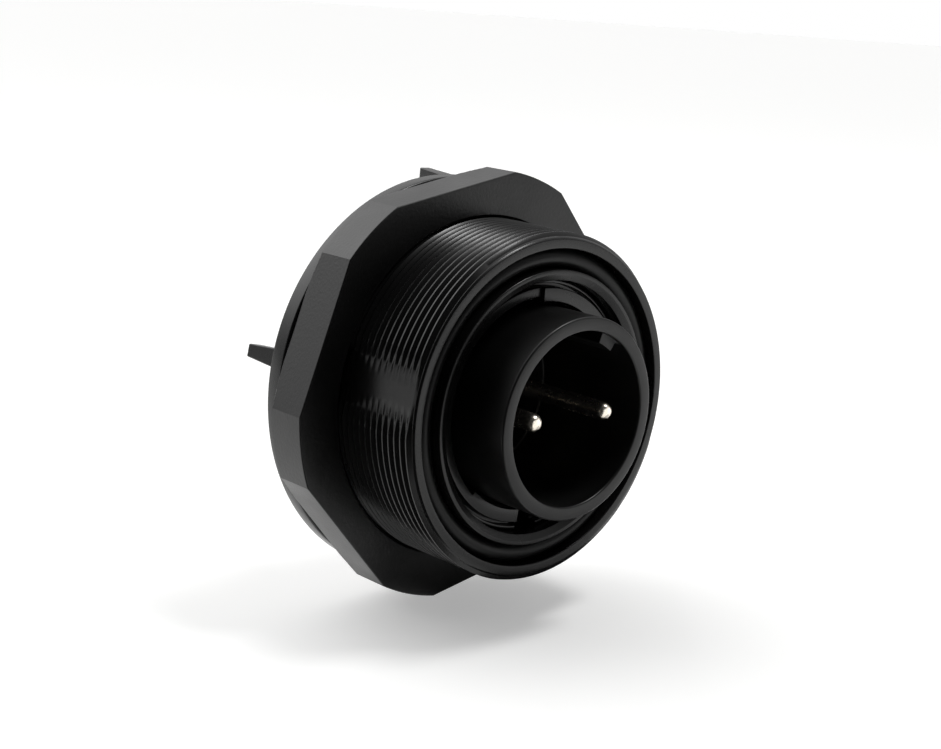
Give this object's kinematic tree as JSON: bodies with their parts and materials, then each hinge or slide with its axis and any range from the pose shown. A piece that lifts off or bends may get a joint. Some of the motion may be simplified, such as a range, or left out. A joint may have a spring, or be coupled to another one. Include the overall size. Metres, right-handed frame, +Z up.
{
  "type": "circular connector",
  "caption": "Panel-mount circular pin connector: flanged threaded barrel with hexagon panel nut, face seal, and a keyed collar around plated contact pins.",
  "frame": {"origin": "on the mating axis, in the plane of the flange's front face, where the panel is clamped", "axes": "-Y along the mating axis towards the front, +X through the right-hand pin as seen from the front, +Z up"},
  "size_m": [0.0392, 0.0264, 0.0386],
  "materials": {
    "body_nylon": "moulded black glass-filled nylon",
    "nut_nylon": "fine-grained moulded black nylon",
    "insert_plastic": "moulded black insulator with a light sheen",
    "seal_rubber": "black moulded rubber",
    "contact_plating": "polished nickel plating on turned brass"
  },
  "bodies": {
    "body": {"panel_body": "body_nylon", "panel_seal": "seal_rubber", "front_seal": "seal_rubber", "retaining_ring": "body_nylon", "insert_seal": "seal_rubber", "contact_insert": "insert_plastic", "contact_pin_left": "contact_plating", "contact_pin_right": "contact_plating"},
    "nut": {"panel_nut": "nut_nylon"}
  },
  "joints": [
    {"name": "nut_travel", "type": "slide", "parent": "body", "child": "nut", "axis": [0, -1, 0], "range_m": [0, 0.008]}
  ]
}
